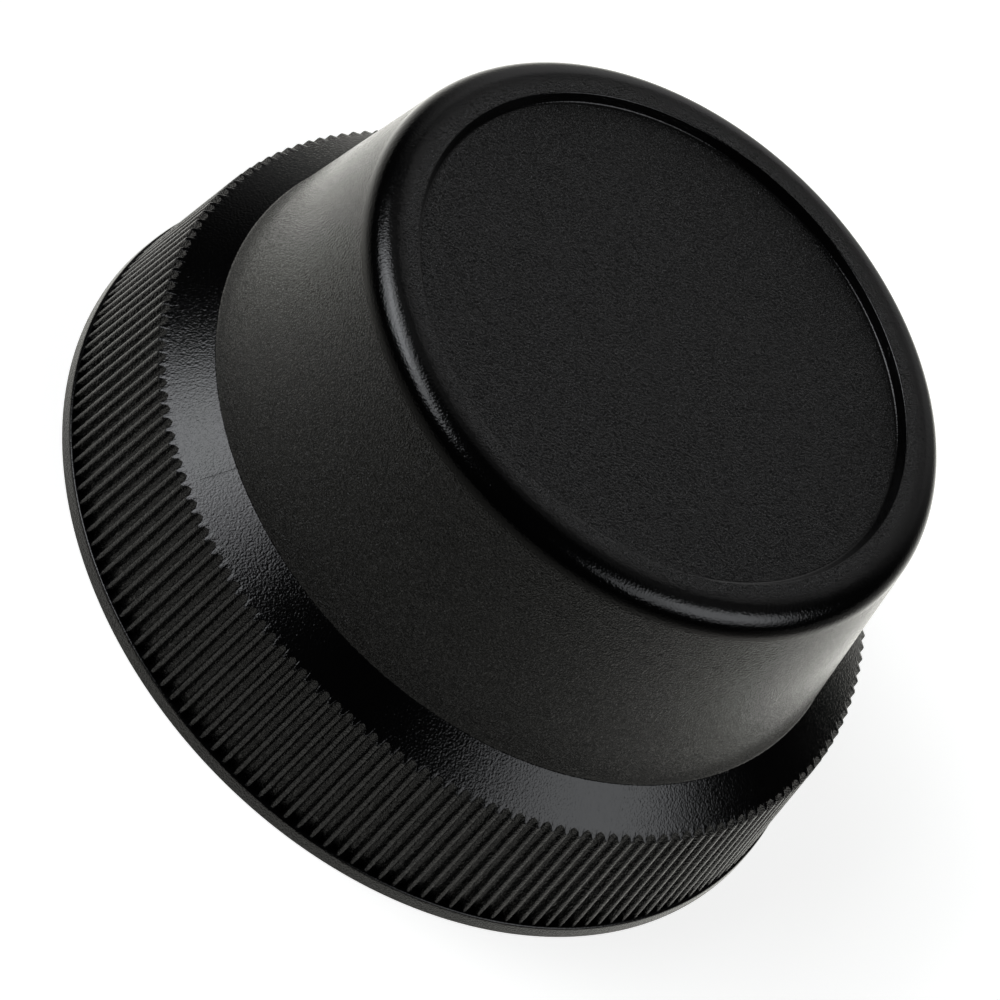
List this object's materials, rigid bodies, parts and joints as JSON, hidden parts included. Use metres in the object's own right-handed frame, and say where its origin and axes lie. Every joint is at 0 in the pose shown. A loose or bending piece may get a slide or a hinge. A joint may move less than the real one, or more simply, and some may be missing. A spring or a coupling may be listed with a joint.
{
  "type": "rear lens cap",
  "caption": "Tall round push-and-turn cap for the rear of a camera lens, with a finely ribbed grip ring, a tapered wall and a recessed flat face.",
  "frame": {"origin": "centre of the open rim, in the plane the cap stands on", "axes": "+Z along the axis of the cap from the open rim to the closed face; +X and +Y lie in the rim plane, with the first bayonet lug starting 12 degrees from +X towards +Y"},
  "size_m": [0.053, 0.053, 0.0263],
  "materials": {
    "black_plastic": "satin black, fine spark-eroded grain, smoother on the shoulder"
  },
  "bodies": {
    "root": {"rear_cap": "black_plastic"}
  },
  "joints": []
}
